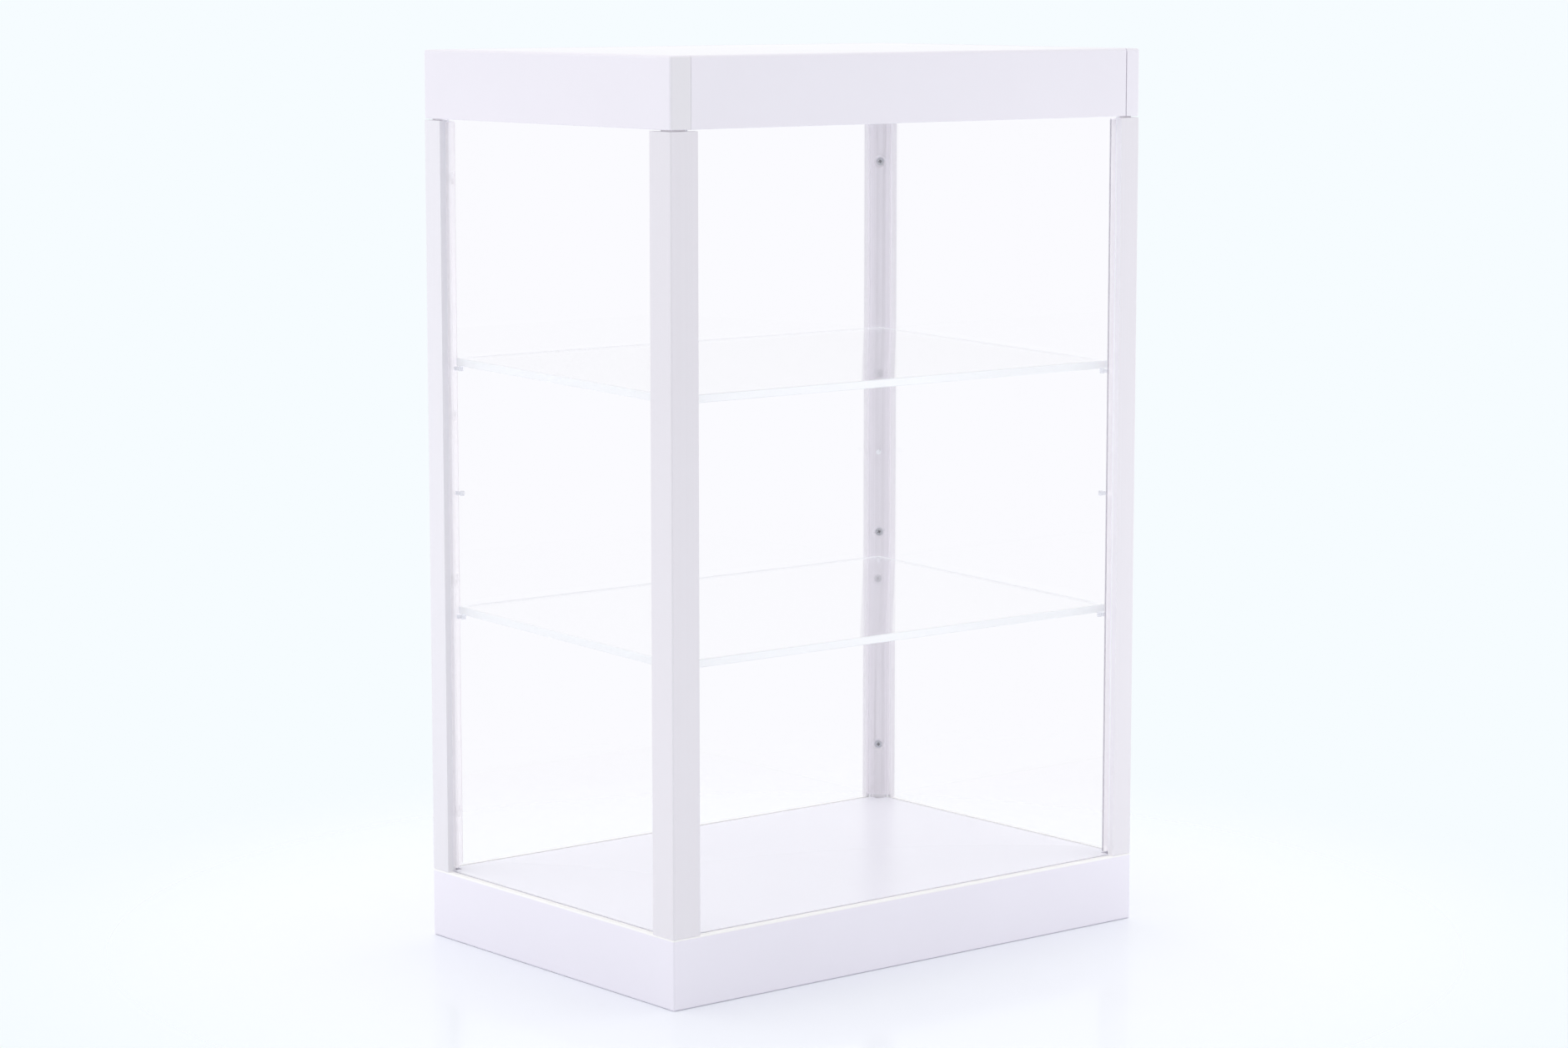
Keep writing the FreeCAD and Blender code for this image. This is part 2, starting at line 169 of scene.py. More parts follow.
def facing(tree: Tree) -> tuple[Socket, Socket, Socket]:
    """Find which way the face under a point looks.

    Args:
        tree: Node tree of the material.

    Returns:
        Sockets that give X, Y and Z of the face's normal.
    """
    normal = add_node(tree, "ShaderNodeNewGeometry", {}).outputs["True Normal"]
    parts = add_node(tree, "ShaderNodeSeparateXYZ", {"Vector": normal}).outputs
    return parts["X"], parts["Y"], parts["Z"]


def pass_light(tree: Tree, seen: Socket, opening: Socket) -> Socket:
    """Show a clear surface to the eye, and let the rays that light the inside go straight through it.

    Args:
        tree: Node tree of the material.
        seen: Shader of the surface as the eye sees it.
        opening: Shader that lets rays through.

    Returns:
        Socket that gives each ray its shader.
    """
    path = add_node(tree, "ShaderNodeLightPath", {}).outputs
    shader = seen
    for ray in ("Is Diffuse Ray", "Is Shadow Ray"):
        both = add_node(tree, "ShaderNodeMixShader", {0: path[ray], 1: shader, 2: opening})
        shader = both.outputs["Shader"]
    return shader


def coat(material: Material, *nodes: str) -> None:
    """Give CAD nodes one material.

    Args:
        material: Material to show.
        *nodes: Names of the CAD nodes.
    """
    for name in nodes:
        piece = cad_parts[name]
        for slot in piece.material_slots:
            slot.material = material
        LOG.info("%s dressed in %s", name, material.name)


def pick(piece: Piece, wanted: Callable[[bmesh.types.BMFace], bool]) -> None:
    """Select some faces of a piece that is in edit mode, and nothing else.

    Args:
        piece: Piece that is being modelled.
        wanted: Says whether a face is one of them.
    """
    bpy.ops.mesh.select_mode(type="FACE")
    bpy.ops.mesh.select_all(action="DESELECT")
    shape = bmesh.from_edit_mesh(piece.data)
    for face in shape.faces:
        face.select_set(wanted(face))
    bmesh.update_edit_mesh(piece.data)


def carve(piece: Piece, cutter: Piece) -> None:
    """Cut one piece out of another, and throw the cutter away.

    Args:
        piece: Piece to cut.
        cutter: Closed shape that is taken out of it.
    """
    bpy.ops.object.select_all(action="DESELECT")
    bpy.context.view_layer.objects.active = piece
    cut = piece.modifiers.new("cut", "BOOLEAN")
    cut.operation = "DIFFERENCE"
    cut.object = cutter
    bpy.ops.object.modifier_apply(modifier=cut.name)
    bpy.data.objects.remove(cutter)


@dataclass(frozen=True)
class SprayedLacquer:
    """White lacquer on fibreboard: sprayed, so it has a fine orange peel and an even satin sheen."""

    name: str = "white_sprayed_lacquer"
    colour: str = "#F5F2FC"
    shade: str = "#F1EEF8"
    # The roughness ranges from this less the next to this plus the one after it
    roughness: float = 0.42
    smoother: float = 0.04
    rougher: float = 0.06
    ior: float = 1.5
    cloud_mm: float = 70.0
    cloud_detail: float = 4.0
    peel_mm: float = 1.1
    peel_detail: float = 2.0
    peel_depth_mm: float = 0.012
    peel_strength: float = 0.25

    def tint(self, tree: Tree, place: Socket, cloud: Socket) -> Socket:
        """Colour the lacquer.

        Args:
            tree: Node tree of the material.
            place: Place on the piece.
            cloud: Cloud pattern that the two colours follow.

        Returns:
            Socket that gives the colour.
        """
        mix = add_node(tree, "ShaderNodeMix", {
            "Factor": cloud, "A": linear(self.colour), "B": linear(self.shade)}, data_type="RGBA")
        return mix.outputs["Result"]

    def material(self) -> Material:
        """Make the lacquer's material.

        Returns:
            Material with clouded colour, a little sheen variation and orange peel.
        """
        material, tree, place = start_material(self.name)
        cloud = add_node(tree, "ShaderNodeTexNoise", {
            "Vector": place, "Scale": 1 / (self.cloud_mm * MM), "Detail": self.cloud_detail})
        peel = add_node(tree, "ShaderNodeTexNoise", {
            "Vector": place, "Scale": 1 / (self.peel_mm * MM), "Detail": self.peel_detail})
        sheen = add_node(tree, "ShaderNodeMapRange", {
            "Value": cloud.outputs["Fac"],
            "To Min": self.roughness - self.smoother, "To Max": self.roughness + self.rougher})
        bump = add_node(tree, "ShaderNodeBump", {
            "Height": peel.outputs["Fac"],
            "Strength": self.peel_strength, "Distance": self.peel_depth_mm * MM})
        surface = add_node(tree, "ShaderNodeBsdfPrincipled", {
            "Base Color": self.tint(tree, place, cloud.outputs["Fac"]), "Roughness": sheen.outputs["Result"],
            "Normal": bump.outputs["Normal"], "IOR": self.ior})
        add_node(tree, "ShaderNodeOutputMaterial", {"Surface": surface.outputs["BSDF"]})
        return material


@dataclass(frozen=True)
class EdgedLacquer(SprayedLacquer):
    """White lacquer on a board with one edge of another white: a painted highlight along a rim, or sawn and
    thirsty.
    """

    edge_colour: str = "#FFFFFF"
    edge_axis: str = "Z"
    # Places along that axis where the edge's colour is whole, and where none of it is left
    edge_full: float = 34.4 * MM
    edge_none: float = 33.8 * MM

    def tint(self, tree: Tree, place: Socket, cloud: Socket) -> Socket:
        """Colour the lacquer, with the edge colour where the edge is: a painted highlight or the edge's own
        tone.

        Args:
            tree: Node tree of the material.
            place: Place on the piece.
            cloud: Cloud pattern that the two colours follow.

        Returns:
            Socket that gives the colour.
        """
        faces = super().tint(tree, place, cloud)
        apart = add_node(tree, "ShaderNodeSeparateXYZ", {"Vector": place})
        edge = add_node(tree, "ShaderNodeMapRange", {
            "Value": apart.outputs[self.edge_axis], "From Min": self.edge_full, "From Max": self.edge_none,
            "To Min": 1.0, "To Max": 0.0})
        mix = add_node(tree, "ShaderNodeMix", {
            "Factor": edge.outputs["Result"], "A": faces, "B": linear(self.edge_colour)}, data_type="RGBA")
        return mix.outputs["Result"]


@dataclass(frozen=True)
class ExtrudedPlastic:
    """White ABS pushed through a die: fine draw lines run along its length under a satin skin."""

    name: str = "white_extruded_abs"
    colour: str = "#E7E4EA"
    shade: str = "#E2DFE5"
    # Painted light: a lighter colour towards the foot, a whiter one on faces that look left, and a glow in
    # the gap under the cap
    bounce_light_colour: str = "#EDEAF0"
    bounce_run_mm: float = 300.0
    left_light_colour: str = "#FBF8FE"
    left_light_share: float = 0.0
    gap_mm: float = 415.25
    gap_painted_glow: float = 0.3
    gap_slope: float = 0.5
    roughness: float = 0.38
    smoother: float = 0.05
    rougher: float = 0.07
    ior: float = 1.5
    line_mm: float = 0.6
    line_run_mm: float = 3000.0
    line_depth_mm: float = 0.006
    line_strength: float = 0.3

    def material(self) -> Material:
        """Make the plastic's material.

        Returns:
            Material whose colour, sheen and bump follow upright draw lines, with painted light towards the
            foot, on faces that look left and in the gap under the cap.
        """
        material, tree, place = start_material(self.name)
        lines = fine_lines(tree, place, self.line_mm, self.line_run_mm)
        look_x, _, look_z = facing(tree)
        tint = add_node(tree, "ShaderNodeMix", {
            "Factor": lines, "A": linear(self.colour), "B": linear(self.shade)}, data_type="RGBA")
        # Painted light: a post is drawn lighter towards its foot, where the floor bounces light onto it
        height = add_node(tree, "ShaderNodeSeparateXYZ", {"Vector": place}).outputs["Z"]
        low = add_node(tree, "ShaderNodeMapRange", {
            "Value": height, "From Min": self.bounce_run_mm * MM, "From Max": 0.0})
        bounce_lit = add_node(tree, "ShaderNodeMix", {
            "Factor": low.outputs["Result"], "A": tint.outputs["Result"], "B": linear(self.bounce_light_colour)},
            data_type="RGBA")
        # Painted light: faces that look to the left are drawn whiter than the skin, by as much as the share
        # asks
        end = add_node(tree, "ShaderNodeMapRange", {
            "Value": look_x, "From Min": LEFT_FROM, "From Max": LEFT_FULL, "To Max": self.left_light_share})
        skin = add_node(tree, "ShaderNodeMix", {
            "Factor": end.outputs["Result"], "A": bounce_lit.outputs["Result"], "B": linear(self.left_light_colour)},
            data_type="RGBA")
        # Painted glow on the sides of the core above the legs softens the dark of the gap between a post and
        # the cap
        above = add_node(tree, "ShaderNodeMath", {0: height, 1: self.gap_mm * MM}, operation="GREATER_THAN")
        upright = add_node(tree, "ShaderNodeMath", {0: look_z, 1: self.gap_slope}, operation="LESS_THAN")
        core = add_node(tree, "ShaderNodeMath", {
            0: above.outputs[0], 1: upright.outputs[0]}, operation="MULTIPLY")
        painted_glow = add_node(tree, "ShaderNodeMath", {0: core.outputs[0], 1: self.gap_painted_glow}, operation="MULTIPLY")
        sheen = add_node(tree, "ShaderNodeMapRange", {
            "Value": lines,
            "To Min": self.roughness - self.smoother, "To Max": self.roughness + self.rougher})
        bump = add_node(tree, "ShaderNodeBump", {
            "Height": lines, "Strength": self.line_strength, "Distance": self.line_depth_mm * MM})
        surface = add_node(tree, "ShaderNodeBsdfPrincipled", {
            "Base Color": skin.outputs["Result"], "Roughness": sheen.outputs["Result"],
            "Normal": bump.outputs["Normal"], "IOR": self.ior,
            "Emission Color": linear(self.colour), "Emission Strength": painted_glow.outputs[0]})
        add_node(tree, "ShaderNodeOutputMaterial", {"Surface": surface.outputs["BSDF"]})
        return material


@dataclass(frozen=True)
class ClearAcrylic:
    """Clear acrylic sheet: glass-like, with the faintest smears of handling, and no shadow of its own."""

    name: str = "clear_acrylic"
    cast: str = "#FFFFFF"
    smear: float = 0.02
    smear_mm: float = 45.0
    smear_detail: float = 5.0
    smear_from: float = 0.5
    smear_full: float = 0.8

    def material(self) -> Material:
        """Make the acrylic's material.

        Returns:
            Material that refracts what is seen through it and lets soft light straight through.
        """
        material, tree, place = start_material(self.name)
        smears = add_node(tree, "ShaderNodeTexNoise", {
            "Vector": place, "Scale": 1 / (self.smear_mm * MM), "Detail": self.smear_detail})
        gloss = add_node(tree, "ShaderNodeMapRange", {
            "Value": smears.outputs["Fac"], "From Min": self.smear_from, "From Max": self.smear_full,
            "To Min": 0.0, "To Max": self.smear})
        sheet = add_node(tree, "ShaderNodeBsdfPrincipled", {
            "Base Color": linear(self.cast), "Roughness": gloss.outputs["Result"], "IOR": ACRYLIC_IOR,
            "Transmission Weight": 1.0})
        opening = add_node(tree, "ShaderNodeBsdfTransparent", {"Color": linear(self.cast)})
        # Sheets this clear hardly dim the inside
        lit = pass_light(tree, sheet.outputs["BSDF"], opening.outputs["BSDF"])
        add_node(tree, "ShaderNodeOutputMaterial", {"Surface": lit})
        return material


@dataclass(frozen=True)
class ClearStrip:
    """Clear strip pushed through a die: see-through, a little milky, with draw lines, bright edges and a
    faint painted glow.
    """

    name: str = "clear_extruded_strip"
    colour: str = "#FFFBFF"
    tip_shade_colour: str = "#FFFBFF"
    cast: str = "#FEFEFF"
    milk: float = 0.6
    milk_spread: float = 0.12
    milk_from: float = 0.3
    milk_full: float = 0.7
    flange_milk: float = 0.7
    web_from: float = 0.1
    web_full: float = 0.4
    edge_blend: float = 0.05
    roughness: float = 0.25
    painted_glow: float = 0.06
    line_mm: float = 0.5
    line_run_mm: float = 3000.0

    def material(self) -> Material:
        """Make the strip's material.

        Returns:
            Material that shows what is behind it, under a milky film that mirrors more when seen edge on.
        """
        material, tree, place = start_material(self.name)
        lines = fine_lines(tree, place, self.line_mm, self.line_run_mm)
        film = add_node(tree, "ShaderNodeMapRange", {
            "Value": lines, "From Min": self.milk_from, "From Max": self.milk_full,
            "To Min": self.milk, "To Max": self.milk + self.milk_spread})
        # The web shows the draw lines and the flanges are plain: it alone looks to both walls at once
        look_x, look_y, _ = facing(tree)
        slant = add_node(tree, "ShaderNodeMath", {0: look_x, 1: look_y}, operation="MULTIPLY")
        web = add_node(tree, "ShaderNodeMath", {0: slant.outputs[0]}, operation="ABSOLUTE")
        milky = add_node(tree, "ShaderNodeMapRange", {
            "Value": web.outputs[0], "From Min": self.web_from, "From Max": self.web_full,
            "To Min": self.flange_milk, "To Max": film.outputs["Result"]})
        edge_on = add_node(tree, "ShaderNodeLayerWeight", {"Blend": self.edge_blend})
        share = add_node(tree, "ShaderNodeMath", {
            0: milky.outputs["Result"], 1: edge_on.outputs["Facing"]}, operation="ADD", use_clamp=True)
        # The cut tip of a flange looks to the left along the front wall; its colour can paint it as a thin
        # dark upright line of painted shade
        tip = add_node(tree, "ShaderNodeMapRange", {
            "Value": look_x, "From Min": LEFT_FROM, "From Max": LEFT_FULL})
        tint = add_node(tree, "ShaderNodeMix", {
            "Factor": tip.outputs["Result"], "A": linear(self.colour), "B": linear(self.tip_shade_colour)},
            data_type="RGBA")
        opening = add_node(tree, "ShaderNodeBsdfTransparent", {"Color": linear(self.cast)})
        surface = add_node(tree, "ShaderNodeBsdfPrincipled", {
            "Base Color": tint.outputs["Result"], "Roughness": self.roughness, "IOR": ACRYLIC_IOR,
            "Emission Color": tint.outputs["Result"], "Emission Strength": self.painted_glow})
        both = add_node(tree, "ShaderNodeMixShader", {
            0: share.outputs[0], 1: opening.outputs["BSDF"], 2: surface.outputs["BSDF"]})
        lit = pass_light(tree, both.outputs["Shader"], opening.outputs["BSDF"])
        add_node(tree, "ShaderNodeOutputMaterial", {"Surface": lit})
        return material


@dataclass(frozen=True)
class SawnAcrylic:
    """Sawn edge of an acrylic sheet: white and frosted, scored by the saw, with a painted glow for the light
    that comes from inside the sheet.
    """

    name: str = "sawn_acrylic_edge"
    colour: str = "#F7F8FB"
    score: str = "#F2F4F7"
    roughness: float = 0.55
    score_mm: float = 0.9
    score_run_mm: float = 12.0
    score_depth_mm: float = 0.03
    score_strength: float = 0.4
    painted_glow: float = 0.01
    right_glow: float = 0.01
    fade_from_mm: float = 10.0
    fade_to_mm: float = 80.0
    corner_glow: float = 0.2
    corner_run_mm: float = 16.0
    inset_mm: float = 10.0

    def material(self) -> Material:
        """Make the sawn edge's material.

        Returns:
            Frosted material with upright saw scores in its colour and bump, and a painted glow.
        """
        material, tree, place = start_material(self.name)
        scores = fine_lines(tree, place, self.score_mm, self.score_run_mm)
        tint = add_node(tree, "ShaderNodeMix", {
            "Factor": scores, "A": linear(self.colour), "B": linear(self.score)}, data_type="RGBA")
        bump = add_node(tree, "ShaderNodeBump", {
            "Height": scores, "Strength": self.score_strength, "Distance": self.score_depth_mm * MM})
        # The painted glow, for light from inside the sheet, can fade along the edge from left to right
        spot = add_node(tree, "ShaderNodeSeparateXYZ", {"Vector": place}).outputs
        fade = add_node(tree, "ShaderNodeMapRange", {
            "Value": spot["X"], "From Min": self.fade_from_mm * MM, "From Max": self.fade_to_mm * MM,
            "To Min": self.painted_glow, "To Max": self.right_glow})
        # The corners lie behind the posts, where the edge is in shade, so more painted glow there stands in
        # for light from inside the sheet
        ramps = []
        for axis, end in (("X", HALF_WIDTH), ("Y", HALF_DEPTH)):
            reach = add_node(tree, "ShaderNodeMath", {0: spot[axis]}, operation="ABSOLUTE")
            ramp = add_node(tree, "ShaderNodeMapRange", {
                "Value": reach.outputs[0], "From Min": end - (self.corner_run_mm + self.inset_mm) * MM,
                "From Max": end - self.inset_mm * MM})
            ramps.append(ramp.outputs["Result"])
        corner = add_node(tree, "ShaderNodeMath", {0: ramps[0], 1: ramps[1]}, operation="MULTIPLY")
        painted_glow = add_node(tree, "ShaderNodeMath", {
            0: corner.outputs[0], 1: self.corner_glow, 2: fade.outputs["Result"]}, operation="MULTIPLY_ADD")
        surface = add_node(tree, "ShaderNodeBsdfPrincipled", {
            "Base Color": tint.outputs["Result"], "Roughness": self.roughness, "IOR": ACRYLIC_IOR,
            "Normal": bump.outputs["Normal"],
            "Emission Color": linear(self.colour), "Emission Strength": painted_glow.outputs[0]})
        add_node(tree, "ShaderNodeOutputMaterial", {"Surface": surface.outputs["BSDF"]})
        return material


@dataclass(frozen=True)
class PlatedSteel:
    """Zinc-plated steel: grey metal with a soft, slightly patchy shine."""

    name: str = "zinc_plated_steel"
    colour: str = "#C9CACD"
    dull: str = "#A9AAAF"
    roughness: float = 0.3
    smoother: float = 0.08
    rougher: float = 0.12
    patch_mm: float = 0.8
    patch_detail: float = 4.0

    def material(self) -> Material:
        """Make the steel's material.

        Returns:
            Metal material with patches in its colour and shine.
        """
        material, tree, place = start_material(self.name)
        patches = add_node(tree, "ShaderNodeTexNoise", {
            "Vector": place, "Scale": 1 / (self.patch_mm * MM), "Detail": self.patch_detail}).outputs["Fac"]
        tint = add_node(tree, "ShaderNodeMix", {
            "Factor": patches, "A": linear(self.colour), "B": linear(self.dull)}, data_type="RGBA")
        sheen = add_node(tree, "ShaderNodeMapRange", {
            "Value": patches,
            "To Min": self.roughness - self.smoother, "To Max": self.roughness + self.rougher})
        surface = add_node(tree, "ShaderNodeBsdfPrincipled", {
            "Base Color": tint.outputs["Result"], "Roughness": sheen.outputs["Result"], "Metallic": 1.0})
        add_node(tree, "ShaderNodeOutputMaterial", {"Surface": surface.outputs["BSDF"]})
        return material


@dataclass(frozen=True)
class Flecked:
    """Dull surface with fine flecks of a second colour, which can stand up from it."""

    name: str
    colour: str
    fleck: str
    fleck_mm: float
    roughness: float
    fleck_detail: float = 3.0
    fleck_fray: float = 0.5
    metallic: float = 0.0
    relief: float = 0.0
    relief_mm: float = 0.05

    def material(self) -> Material:
        """Make the surface's material.

        Returns:
            Dull material with flecks in its colour, and in its bump where it has relief.
        """
        material, tree, place = start_material(self.name)
        flecks = add_node(tree, "ShaderNodeTexNoise", {
            "Vector": place, "Scale": 1 / (self.fleck_mm * MM), "Detail": self.fleck_detail,
            "Roughness": self.fleck_fray}).outputs["Fac"]
        tint = add_node(tree, "ShaderNodeMix", {
            "Factor": flecks, "A": linear(self.colour), "B": linear(self.fleck)}, data_type="RGBA")
        surface = add_node(tree, "ShaderNodeBsdfPrincipled", {
            "Base Color": tint.outputs["Result"], "Roughness": self.roughness, "Metallic": self.metallic})
        if self.relief:
            bump = add_node(tree, "ShaderNodeBump", {
                "Height": flecks, "Strength": self.relief, "Distance": self.relief_mm * MM})
            tree.links.new(bump.outputs["Normal"], surface.inputs["Normal"])
        add_node(tree, "ShaderNodeOutputMaterial", {"Surface": surface.outputs["BSDF"]})
        return material


@dataclass(frozen=True)
class RecessSteel(Flecked):
    """Steel down in a screw's recess: duller, and darker than the head, partly painted shade in the hollow
    and partly dust.
    """

    name: str = "screw_recess_steel"
    colour: str = "#9A9BA2"
    fleck: str = "#7C7D84"
    fleck_mm: float = 0.5
    roughness: float = 0.6
    metallic: float = 0.3


@dataclass(frozen=True)
class BareFibreboard(Flecked):
    """Bare fibreboard: matt brown, felted from short fibres."""

    name: str = "bare_fibreboard"
    colour: str = "#B79A74"
    fleck: str = "#9C7F5B"
    fleck_mm: float = 0.5
    fleck_detail: float = 6.0
    fleck_fray: float = 0.7
    roughness: float = 0.9
    relief: float = 0.5


@dataclass(frozen=True)
class FootRubber(Flecked):
    """Moulded rubber: dark and matt, with a fine pebble."""

    name: str = "foot_rubber"
    colour: str = "#26272A"
    fleck: str = "#3A3B3F"
    fleck_mm: float = 0.4
    roughness: float = 0.75
    relief: float = 0.4


@dataclass
class Base:
    """Mitred skirt, floor panel and what is fixed under it."""

    def dress(self) -> None:
        """Give every piece of the base its finish."""
        # The skirt's rim carries a painted highlight: its top edge is drawn the brightest white
        skirt = EdgedLacquer(name="rim_painted_highlight_lacquer", edge_colour="#FFFEFE")
        coat(skirt.material(), *[f"base_{side.value}_board" for side in Wall])
        # The floor is glossier than the boards, and mirrors the posts a little
        floor = SprayedLacquer(name="white_floor_lacquer", colour="#F4F3FC", shade="#F1F0FA", roughness=0.24)
        coat(floor.material(), "base_floor_panel")
        coat(BareFibreboard(name="block_fibreboard").material(), "base_corner_blocks")
        coat(FootRubber().material(), "foot_pads")


@dataclass
class Corners:
    """Posts, clear strips, foot screws and the shelf pegs."""

    def dress(self) -> None:
        """Give every piece of the four corners its finish."""
        coat(ExtrudedPlastic().material(), "front_left_post", "rear_right_post")
        # The post at the front right has painted light on its faces that look to the left
        left_lit = ExtrudedPlastic(name="left_lit_extruded_abs", left_light_share=1.0)
        coat(left_lit.material(), "front_right_post")
        # The post at the back left is drawn the whitest, partly its own cooler tone and partly painted light
        # that lifts the shade on the end of its leg; it has no painted bounce light at its foot
        whiter = ExtrudedPlastic(
            name="whiter_extruded_abs", colour="#ECEAF0", shade="#E7E5EB", bounce_light_colour="#ECEAF0")
        coat(whiter.material(), "rear_left_post")
        coat(ClearStrip().material(), "front_left_corner_strip", "rear_left_corner_strip")
        # The strip at the front right has painted shade on its cut edge, a thin dark line, and more painted
        # glow on its web
        shaded_tip = ClearStrip(name="painted_shade_tip_strip", tip_shade_colour="#9D99A5", painted_glow=0.19)
        coat(shaded_tip.material(), "front_right_corner_strip")
        # The strip at the back right is drawn greyer than the others, painted shade for the shaded back
        # corner, and has no painted glow
        shaded_strip = ClearStrip(name="painted_shade_extruded_strip", colour="#EDE8F0", tip_shade_colour="#EDE8F0", painted_glow=0.0)
        coat(shaded_strip.material(), "rear_right_corner_strip")
        # The pegs are moulded from clear acrylic, and show as small pale beads with a faint painted glow
        pegs = ClearStrip(
            name="clear_peg_acrylic", colour="#EFF0F7", tip_shade_colour="#EFF0F7",
            milk=0.8, flange_milk=0.5, painted_glow=0.05)
        coat(pegs.material(), *[f"{row}_shelf_pegs" for row in ("lower", "middle", "upper")])
        coat(PlatedSteel().material(), "post_foot_screws")


@dataclass
class StripScrews:
    """Countersunk screws through the clear strips into the posts, each with a cross recess."""

    levels: tuple[float, ...] = (65.0 * MM, 183.7 * MM, 267.7 * MM, 386.4 * MM)
    face_inset: float = 10.49 * MM
    sink: float = 1.2 * MM
    head: float = 4.2 * MM
    shank: float = 3.0 * MM
    length: float = 8.7 * MM
    tip: float = 1.6 * MM
    tip_share: float = 0.2
    rim: float = 0.12 * MM
    rim_steps: int = 2
    sides: int = 32
    recess_length: float = 2.5 * MM
    recess_width: float = 0.85 * MM
    recess_depth: float = 0.9 * MM
    recess_taper: float = 0.55
    recess_lip: float = 0.02 * MM
    recess_margin: float = 1.1
    turn_step: float = 37.0
    smooth_angle: float = 30.0

    def model(self) -> Piece:
        """Model one screw, with the middle of its head at the origin and its shank down the Z axis.

        Returns:
            The screw, with its recess cut.
        """
        cone = (self.head - self.shank) / 2
        bpy.ops.object.select_all(action="DESELECT")
        bpy.ops.mesh.primitive_cylinder_add(
            vertices=self.sides, radius=self.head / 2, depth=cone, location=(0.0, 0.0, -cone / 2))
        bpy.ops.object.transform_apply()
        screw = bpy.context.object
        bpy.ops.object.mode_set(mode="EDIT")
        pick(screw, lambda face: face.normal.z < -LEVEL_SLOPE)
        narrow = self.shank / self.head
        bpy.ops.transform.resize(value=(narrow, narrow, 1.0))
        bpy.ops.mesh.extrude_region_move(
            TRANSFORM_OT_translate={"value": (0.0, 0.0, cone + self.tip - self.length)})
        bpy.ops.mesh.extrude_region_move(TRANSFORM_OT_translate={"value": (0.0, 0.0, -self.tip)})
        bpy.ops.transform.resize(value=(self.tip_share, self.tip_share, 1.0))
        pick(screw, lambda face: face.normal.z > LEVEL_SLOPE)
        bpy.ops.mesh.bevel(offset=self.rim, segments=self.rim_steps, affect="EDGES")
        bpy.ops.object.mode_set(mode="OBJECT")
        for turn in (0.0, math.pi / 2):
            self.cut_slot(screw, turn)
        return screw

    def cut_slot(self, screw: Piece, turn: float) -> None:
        """Cut one bar of the cross recess, which narrows as it goes down.

        Args:
            screw: Screw to cut.
            turn: Angle of the bar about the screw's axis.
        """
        bpy.ops.object.select_all(action="DESELECT")
        size = (self.recess_length, self.recess_width, 2 * self.recess_depth)
        bpy.ops.mesh.primitive_cube_add(size=1.0, scale=size, rotation=(0.0, 0.0, turn))
        bpy.ops.object.transform_apply()
        cutter = bpy.context.object
        bpy.ops.object.mode_set(mode="EDIT")
        pick(cutter, lambda face: face.normal.z < -LEVEL_SLOPE)
        bpy.ops.transform.resize(value=(self.recess_taper, self.recess_taper, 1.0))
        bpy.ops.object.mode_set(mode="OBJECT")
        carve(screw, cutter)

    def in_recess(self, face: bpy.types.MeshPolygon) -> bool:
        """Say whether a face of the screw as modelled lies in its recess.

        Args:
            face: Face of the screw.

        Returns:
            True if the face is below the head's top, and no deeper or further out than the recess.
        """
        below = -self.recess_margin * self.recess_depth < face.center.z < -self.recess_lip
        return below and face.center.xy.length < self.recess_margin * self.recess_length / 2

    def build(self) -> Piece:
        """Model the screw and set a copy of it at every hole of the four strips.

        Returns:
            All the screws as one piece.
        """
        screw = self.model()
        head = PlatedSteel(name="strip_screw_steel", colour="#C2C3CA", dull="#A9AAB1")
        screw.data.materials.append(head.material())
        screw.data.materials.append(RecessSteel().material())
        for face in screw.data.polygons:
            face.material_index = int(self.in_recess(face))
        inset = self.face_inset - self.sink / math.sqrt(2)
        copies = []
        for side_x, side_y in CORNERS:
            across = Vector((-side_x, -side_y, 0.0)).normalized()
            towards = across.to_track_quat("Z", "Y").to_matrix().to_4x4()
            for level in self.levels:
                spot = (side_x * (HALF_WIDTH - inset), side_y * (HALF_DEPTH - inset), level)
                turn = Matrix.Rotation(math.radians(self.turn_step * len(copies)), 4, "Z")
                copy = bpy.data.objects.new("strip_screw", screw.data.copy())
                copy.data.transform(Matrix.Translation(spot) @ towards @ turn)
                bpy.context.scene.collection.objects.link(copy)
                copies.append(copy)
        bpy.data.objects.remove(screw)
        bpy.ops.object.select_all(action="DESELECT")
        for copy in copies:
            copy.select_set(True)
        bpy.context.view_layer.objects.active = copies[0]
        bpy.ops.object.join()
        screws = bpy.context.object
        screws.name = "corner_strip_screw_set"
        bpy.ops.object.shade_smooth_by_angle(angle=math.radians(self.smooth_angle))
        return screws

    def dress(self, screws: Piece) -> None:
        """Let the screws ride on the case in place of their CAD node.

        Args:
            screws: All the screws as one piece.
        """
        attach(screws, "case")
        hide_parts("corner_strip_screws")
        LOG.info("%s built", screws.name)


